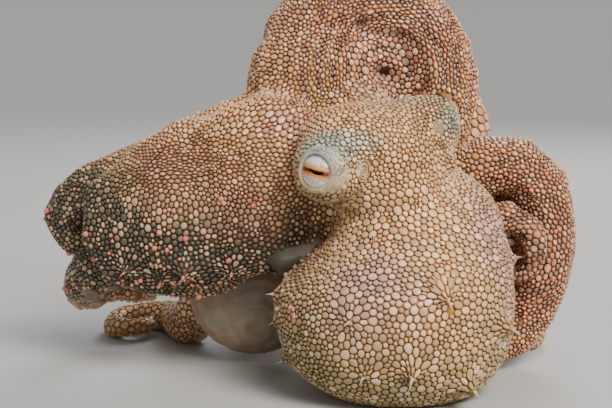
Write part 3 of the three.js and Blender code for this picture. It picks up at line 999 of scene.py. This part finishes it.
PAD_TONES = {
    "Pale": paint(244, 200, 150),
    "Rust": paint(230, 170, 142),
    "Olive": paint(178, 156, 106),
    "Lilac": paint(214, 176, 166),
    "DarkAndShade": paint(110, 98, 78),
    "Blue": paint(182, 190, 170),
}
pad_hide, tree, shader, group = hide_material("pad_hide", PAD_TONES, 0.42)
tone = tree.nodes.new("ShaderNodeAttribute")
tone.attribute_name = "tone"
brighten = tree.nodes.new("ShaderNodeMapRange")
brighten.inputs["To Min"].default_value = 0.62
brighten.inputs["To Max"].default_value = 1.16
tree.links.new(tone.outputs["Fac"], brighten.inputs["Value"])
bleach = tree.nodes.new("ShaderNodeMapRange")
bleach.inputs["From Min"].default_value = 0.6
bleach.inputs["To Max"].default_value = 0.32
tree.links.new(tone.outputs["Fac"], bleach.inputs["Value"])
bleached = tree.nodes.new("ShaderNodeMix")
bleached.data_type = "RGBA"
tree.links.new(bleach.outputs["Result"], bleached.inputs["Factor"])
tree.links.new(group.outputs["Colour"], bleached.inputs[6])
bleached.inputs[7].default_value = paint(248, 226, 208)
varied = tree.nodes.new("ShaderNodeHueSaturation")
tree.links.new(bleached.outputs[2], varied.inputs["Color"])
tree.links.new(brighten.outputs["Result"], varied.inputs["Value"])
shader.inputs["Coat Weight"].default_value = 0.35
shader.inputs["Coat Roughness"].default_value = 0.18
# each pad's colour runs from the groove colour at its foot to its own colour at the crown: partly the brownish
# rims the pads have, partly painted shade that lights the crown of each dome
height = tree.nodes.new("ShaderNodeAttribute")
height.attribute_name = "height"
rim = tree.nodes.new("ShaderNodeMix")
rim.data_type = "RGBA"
rim.blend_type = "MIX"
tree.links.new(height.outputs["Fac"], rim.inputs["Factor"])
rim_group = tree.nodes.new("ShaderNodeGroup")
rim_group.node_tree = hide_colour
for name, colour in GROOVES.items():
    rim_group.inputs[name].default_value = colour
tree.links.new(rim_group.outputs["Colour"], rim.inputs[6])
tree.links.new(varied.outputs["Color"], rim.inputs[7])
tree.links.new(rim.outputs[2], shader.inputs["Base Color"])


def raised_pads(region, groove, height, corner):
    """One joined mesh of the pads of a region: each a closed pad with walls and a rounded top."""
    shape = bmesh.new()
    shape.from_mesh(cells.data)
    number = shape.faces.layers.int.new("pad")
    breadth = shape.faces.layers.int.new("breadth")
    # the height layer carries the pad's painted shading, dark at its foot and light at its crown
    up = shape.verts.layers.float.new("height")
    wrong = []
    for face in shape.faces:
        face[number] = face.index
        across = 2 * face.calc_area() / face.calc_perimeter()
        face[breadth] = next((i for i, (least, _) in enumerate(BREADTHS) if across > least * MM), -1)
        if cell_region[face.index] != region_list.index(region) or face[breadth] < 0:
            wrong.append(face)
    bmesh.ops.delete(shape, geom=wrong, context="FACES")
    bmesh.ops.delete(shape, geom=[v for v in shape.verts if not v.link_faces], context="VERTS")
    bmesh.ops.split_edges(shape, edges=shape.edges)
    for i, (_, share) in enumerate(BREADTHS):
        these = [f for f in shape.faces if f[breadth] == i]
        gaps = bmesh.ops.inset_individual(shape, faces=these, thickness=groove / 2 * share)["faces"]
        bmesh.ops.delete(shape, geom=gaps, context="FACES")
        if corner:
            verts = [v for v in shape.verts if v.link_faces[0][breadth] == i]
            bmesh.ops.bevel(
                shape, geom=verts, offset=corner * share, offset_type="OFFSET",
                affect="VERTICES", segments=1, profile=0.5, material=-1,
            )
    tops = list(shape.faces)
    floors = [
        part for part in bmesh.ops.duplicate(shape, geom=tops)["geom"]
        if isinstance(part, bmesh.types.BMFace)
    ]
    bmesh.ops.reverse_faces(shape, faces=floors)
    shape.normal_update()
    raised = bmesh.ops.extrude_discrete_faces(shape, faces=tops)["faces"]
    shape.normal_update()
    for face in raised:
        lift = face.normal * (PAD_DEPTH + height * (0.3 + 0.35 * tone_of_pad[face[number]]))
        for vert in face.verts:
            vert.co += lift
            vert[up] = 0.4
    bmesh.ops.remove_doubles(shape, verts=shape.verts, dist=0.0005 * MM)
    for face in shape.faces:
        face.smooth = True
    for i, (_, share) in enumerate(BREADTHS):
        bmesh.ops.inset_individual(
            shape, faces=[f for f in raised if f[breadth] == i], thickness=SHOULDER * share,
            depth=height * 0.25,
        )
    for face in raised:
        for vert in face.verts:
            vert[up] = 0.86
    crowns = bmesh.ops.poke(shape, faces=raised, offset=height * 0.12)["verts"]
    for vert in crowns:
        vert[up] = 1
    shape.faces.layers.int.remove(shape.faces.layers.int["breadth"])
    for vert in shape.verts:
        vert.co.z = max(vert.co.z, 0)
    mesh = bpy.data.meshes.new(region + "_pads")
    shape.to_mesh(mesh)
    shape.free()
    return mesh


def patch_uv(mesh):
    """Shrinks each pad's own unwrap to a small patch where its root lies on the unwrap of the net."""
    pad = np.empty(len(mesh.polygons), np.int32)
    mesh.attributes["pad"].data.foreach_get("value", pad)
    sizes = np.empty(len(mesh.polygons), np.int32)
    mesh.polygons.foreach_get("loop_total", sizes)
    pad_of_corner = np.repeat(pad, sizes)
    layer = mesh.uv_layers["OFBake"]
    uv = np.empty(len(mesh.loops) * 2, np.float32)
    layer.uv.foreach_get("vector", uv)
    uv = uv.reshape(-1, 2)
    root = pad_root_uv[pad_of_corner]
    away = uv - root
    reach = np.maximum(np.linalg.norm(away, axis=1), 1e-6)
    uv = root + away / reach[:, None] * np.minimum(reach, PATCH / 2)[:, None]
    layer.uv.foreach_set("vector", uv.ravel())
    return pad


# narrow pads have thinner grooves and shoulders: least half-breadth in millimetres and share
BREADTHS = [(0.95, 1.0), (0.7, 0.6), (0.5, 0.35)]
PATCH = 0.003
SHOULDER = 0.42 * MM
corner_uv = np.empty(len(cells.data.loops) * 2, np.float32)
cells.data.uv_layers["OFBake"].uv.foreach_get("vector", corner_uv)
corner_uv = corner_uv.reshape(-1, 2)
pad_starts = np.array([p.loop_start for p in cells.data.polygons])
pad_sizes = np.array([p.loop_total for p in cells.data.polygons])
pad_root_uv = np.add.reduceat(corner_uv, pad_starts, axis=0) / pad_sizes[:, None]

# each region's groove width, pad height and rounding of the pads' corners, in millimetres
PAD_KINDS = {
    "mantle": (0.62, 0.6, 0.4),
    "mantle_low": (0.62, 0.6, 0.4),
    "head": (0.58, 0.6, 0.4),
    "left_web": (0.65, 0.7, 0.4),
    "web_dots": (1.0, 0.9, 0.35),
    "arch": (0.62, 0.65, 0.4),
    "crown": (0.62, 0.65, 0.4),
    "coil": (0.7, 0.7, 0.4),
    "coil_low": (0.7, 0.7, 0.4),
    "left_arms": (0.7, 0.6, 0),
    "low_arms": (0.8, 0.5, 0),
    "back_web": (0.8, 0.5, 0),
}
# on dark ground, which is partly painted shade, some of the pads stay pale: from which tone on, and how much of
# the dark they shed
PALE_FROM = 0.5
PALE_SHARE = 0.5
for region, (groove, high, corner) in PAD_KINDS.items():
    pads_mesh = raised_pads(region, groove * MM, high * MM, corner * MM)
    pad = patch_uv(pads_mesh)
    pad_tone = pads_mesh.attributes.new("tone", "FLOAT", "FACE")
    pad_tone.data.foreach_set("value", tone_of_pad[pad])
    tint(pads_mesh)
    corners = np.empty(len(pads_mesh.loops), np.int32)
    pads_mesh.loops.foreach_get("vertex_index", corners)
    sides = np.empty(len(pads_mesh.polygons), np.int32)
    pads_mesh.polygons.foreach_get("loop_total", sides)
    tone_of_vert = np.zeros(len(pads_mesh.vertices))
    tone_of_vert[corners] = np.repeat(tone_of_pad[pad], sides)
    shares = np.empty((len(pads_mesh.vertices), 4), np.float32)
    pads_mesh.attributes["tones"].data.foreach_get("color", shares.ravel())
    shares[:, 3] *= 1 - PALE_SHARE * np.clip((tone_of_vert - PALE_FROM) / 0.2, 0, 1)
    pads_mesh.attributes["tones"].data.foreach_set("color", shares.ravel())
    pads = bpy.data.objects.new(region + "_pads", pads_mesh)
    pads_mesh.materials.append(pad_hide)
    bpy.context.collection.objects.link(pads)
    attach(pads, "root")

# Papillae: the thin ragged tips of the large papillae, whose sides the hide and its pads make, and
# small soft knobs that stud the web and the arms. Tips are drawn-out cones, knobs are small balls.
PAPILLA_SIDES = 9
PAPILLA_CUTS = 6
TIP_WIDE = 0.55
TIP_PAST = 1.7
KNOB_SHARE = {
    "web_dots": 0.055, "left_web": 0.02, "coil": 0.04, "coil_low": 0.04, "left_arms": 0.05, "arch": 0.01,
}

RED_KNOBS = [(-12, -30, 51), (-14, -30, 42), (-8, -40, 45), (-5, -42, 41), (-9, -38, 24)]

papillae = bmesh.new()


def grow_papilla(root, way, length, wide, seed):
    """A ragged cone of a length and half-width in metres, standing on the hide and drooping."""
    before = len(papillae.verts)
    cone = bmesh.ops.create_cone(
        papillae, cap_ends=True, segments=PAPILLA_SIDES, radius1=wide, radius2=wide * 0.05,
        depth=length, matrix=Matrix.Translation((0, 0, length / 2)),
    )["verts"]
    low = [v for v in cone if v.co.z < length / 2]
    sides = [e for v in low for e in v.link_edges if e.other_vert(v).co.z > length / 2]
    bmesh.ops.subdivide_edges(papillae, edges=sides, cuts=PAPILLA_CUTS)
    papillae.verts.ensure_lookup_table()
    turned = way.to_track_quat("Z", "Y").to_matrix()
    for vert in papillae.verts[before:]:
        share = vert.co.z / length
        turn = math.atan2(vert.co.y, vert.co.x)
        shake = noise.noise_vector(vert.co / wide * 1.2 + Vector((seed, seed * 2, 0)))
        thick = 0.8 + 0.3 * math.cos(3 * turn + seed + 2 * share) + 0.6 * shake.z - 0.3 * share
        vert.co.x *= thick
        vert.co.y *= thick * 0.8
        vert.co = turned @ vert.co + root
        vert.co.z -= length * 0.2 * share ** 2
        vert.co += shake * wide * 0.6 * share


def grow_knob(root, way, wide, seed):
    """A soft uneven knob of a half-width in metres, standing a little out of the hide."""
    ball = bmesh.ops.create_icosphere(papillae, subdivisions=2, radius=wide)["verts"]
    turned = way.to_track_quat("Z", "Y").to_matrix()
    for vert in ball:
        shake = noise.noise_vector(vert.co / wide + Vector((seed, 0, seed)))
        vert.co.z *= 1.15
        vert.co = turned @ (vert.co + shake * wide * 0.35) + root


for i, (tip, way, high) in enumerate(spike_tips):
    foot = tip - way * 0.42 * high * MM
    grow_papilla(foot, way, (0.42 * high + TIP_PAST + 0.15 * high) * MM, (TIP_WIDE + 0.09 * high) * MM, i * 3.7)
for i, at in enumerate(RED_KNOBS):
    place, way = body_tree.find_nearest(spot(*at))[:2]
    grow_knob(place + way * 0.5 * MM, way, (1.0 + 0.15 * (i % 3)) * MM, i * 2.9)
chance = np.random.default_rng(5)
for poly in cells.data.polygons:
    region = region_list[cell_region[poly.index]]
    if chance.random() < KNOB_SHARE.get(region, 0):
        wide = (0.8 + 0.7 * chance.random() ** 2) * MM
        grow_knob(poly.center + poly.normal * (wide * 0.5), poly.normal, wide, poly.index * 0.13)
for vert in papillae.verts:
    vert.co.z = max(vert.co.z, 0)
for face in papillae.faces:
    face.smooth = True
papillae_mesh = bpy.data.meshes.new("papillae")
papillae.to_mesh(papillae_mesh)
papillae.free()
tint(papillae_mesh)
PAPILLA_TONES = {
    "Pale": paint(232, 196, 162),
    "Rust": paint(234, 128, 92),
    "Olive": paint(206, 184, 146),
    "Lilac": paint(230, 200, 184),
    "DarkAndShade": paint(232, 136, 108),
    "Blue": paint(206, 200, 184),
}
papilla_hide, *_ = hide_material("papilla_hide", PAPILLA_TONES, 0.4)
papillae_mesh.materials.append(papilla_hide)
papillae_piece = bpy.data.objects.new("papillae", papillae_mesh)
bpy.context.collection.objects.link(papillae_piece)
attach(papillae_piece, "root")

# Suckers: two rows of soft pale cups along the under side of every arm, largest near the crown and
# smallest at the tip. One cup is spun from its section, then set again and again along each arm.
SUCKER_SECTION = [(1.0, -0.5), (1.0, 0.25), (0.86, 0.5), (0.66, 0.46), (0.42, 0.2), (0, 0.1)]
SUCKER_SIDES = 10
SUCKER_SHARE = 0.36  # of the arm's own radius
SUCKER_SPLAY = 30  # degrees each row stands off the middle of the under side
ARM_LINES = {
    "arm_right_1": dict(lead=[(58, 34, 160), (66, 30, 144), (66, 27, 128), (62, 29, 114), (59, 38, 106),
                              (59, 50, 102)], coil=(70, 61, 121, "upright", -105, 400, 20, 6.5, 6),
                        root=13, under=(0, 1, -0.2)),
    "arm_right_2": dict(lead=[(72, 38, 90), (87, 34, 99), (101, 32, 99), (112, 31, 88), (116.5, 31, 68),
                              (115, 31, 46), (107, 31, 26), (92, 30, 13), (76, 28, 18), (67, 26, 36),
                              (71, 22, 57)], coil=None, root=14, under=(0, 1, 0)),
    "arm_right_3": dict(lead=[(46, 70, 74), (58, 74, 44), (70, 71, 20), (86, 65, 11)],
                        coil=(102, 83, 7, "floor", -100, 440, 22, 6, 0), root=13.5, under=(0, 1, -0.6)),
    "arm_right_4": dict(lead=[(20, 86, 68), (22, 100, 40), (27, 112, 17), (42, 125, 11)],
                        coil=(61, 117, 7, "floor", 130, -430, 20, 5.5, 0), root=13, under=(0, 0.4, -1)),
    "arm_left_1": dict(lead=[(-32, 30, 116), (-60, 28, 104), (-86, 32, 94), (-107, 36, 86),
                             (-118, 42, 75)], coil=(-101, 46, 73, "upright", 190, 420, 19, 6, 22),
                       root=14.5, under=(0, 1, -0.4)),
    "arm_left_2": dict(lead=[(-36, 26, 80), (-66, 26, 66), (-90, 32, 55), (-105, 38, 46), (-111, 52, 37)],
                       coil=(-92, 66, 31, "floor", 190, -420, 20, 6, 0), root=14.5, under=(0, 0.6, -1)),
    "arm_left_3": dict(lead=[(-32, 53, 66), (-46, 62, 38), (-58, 76, 15), (-66, 90, 11)],
                       coil=(-90, 97, 7, "floor", 22, 440, 22, 6, 0), root=13.5, under=(0, 1, -0.6)),
    "arm_left_4": dict(lead=[(-14, 80, 66), (-16, 94, 40), (-13, 107, 17), (-6, 119, 11)],
                       coil=(-23, 135, 7, "floor", -25, 440, 21, 6, 0), root=13, under=(0, 1, -0.6)),
}
COIL_STEP = 20


def arm_line(lead, coil, root, under):
    """The middle line of an arm, its lead and then its coil in even steps, with the length along it up to each
    point.
    """
    points = [Vector(p) for p in lead]
    if coil:
        x, y, z, lies, start, turn, first, last, drift = coil
        count = round(abs(turn) / COIL_STEP)
        for i in range(1, count + 1):
            share = i / count
            angle = math.radians(start + turn * share)
            reach = first * (last / first) ** share
            side, rise = reach * math.cos(angle), reach * math.sin(angle)
            flat = lies == "floor"
            points.append(Vector((x + side, y + rise if flat else y + drift * share, z if flat else z + rise)))
    lengths = [0]
    for a, b in zip(points, points[1:]):
        lengths.append(lengths[-1] + (b - a).length)
    return points, lengths


suckers = bmesh.new()
cup = bmesh.new()
rim = [cup.verts.new((out, 0, up)) for out, up in SUCKER_SECTION]
rim_edges = [cup.edges.new(pair) for pair in zip(rim, rim[1:])]
bmesh.ops.spin(
    cup, geom=rim + rim_edges, cent=(0, 0, 0), axis=(0, 0, 1), dvec=(0, 0, 0), angle=2 * math.pi,
    steps=SUCKER_SIDES, use_merge=True,
)
bmesh.ops.remove_doubles(cup, verts=cup.verts, dist=0.001)
bmesh.ops.holes_fill(cup, edges=[e for e in cup.edges if e.is_boundary], sides=0)
bmesh.ops.recalc_face_normals(cup, faces=cup.faces)
for face in cup.faces:
    face.smooth = True
cup_mesh = bpy.data.meshes.new("cup")
cup.to_mesh(cup_mesh)
cup.free()
for name, arm in ARM_LINES.items():
    points, lengths = arm_line(**arm)
    whole = lengths[-1]
    along = 0
    row = 0
    while along < whole * 0.985:
        k = max(i for i, at in enumerate(lengths[:-1]) if at <= along)
        share = (along - lengths[k]) / (lengths[k + 1] - lengths[k])
        here = points[k].lerp(points[k + 1], share)
        ahead = (points[k + 1] - points[k]).normalized()
        thick = 2.4 + (arm["root"] - 2.4) * (1 - (along / whole) ** 1.3)
        size = thick * SUCKER_SHARE
        under = Vector(arm["under"])
        under = (under - ahead * under.dot(ahead)).normalized()
        splay = math.radians(SUCKER_SPLAY if row % 2 else -SUCKER_SPLAY)
        way = Matrix.Rotation(splay, 3, ahead) @ under
        hit, normal, _, far = body_tree.ray_cast(spot(*here), way, 25 * MM)
        if hit is not None and normal.dot(way) > 0.2 and hit.z > 0.6 * size * MM:
            turned = normal.to_track_quat("Z", "Y").to_matrix().to_4x4()
            place = Matrix.Translation(hit) @ turned @ Matrix.Scale(size * MM, 4)
            before = len(suckers.verts)
            suckers.from_mesh(cup_mesh)
            suckers.verts.ensure_lookup_table()
            bmesh.ops.transform(suckers, matrix=place, verts=suckers.verts[before:])
        row += 1
        along += size * 1.15
for vert in suckers.verts:
    vert.co.z = max(vert.co.z, 0)
suckers_mesh = bpy.data.meshes.new("suckers")
suckers.to_mesh(suckers_mesh)
suckers.free()
bpy.data.meshes.remove(cup_mesh)
tint(suckers_mesh)
SUCKER_TONES = {
    "Pale": paint(212, 182, 166),
    "Rust": paint(208, 162, 142),
    "Olive": paint(190, 168, 140),
    "Lilac": paint(208, 172, 164),
    "DarkAndShade": paint(126, 108, 94),
    "Blue": paint(196, 186, 172),
}
sucker_skin, *_ = hide_material("sucker_skin", SUCKER_TONES, 0.35)
suckers_mesh.materials.append(sucker_skin)
suckers_piece = bpy.data.objects.new("suckers", suckers_mesh)
bpy.context.collection.objects.link(suckers_piece)
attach(suckers_piece, "root")

bpy.data.objects.remove(cells)
bpy.data.objects.remove(body)
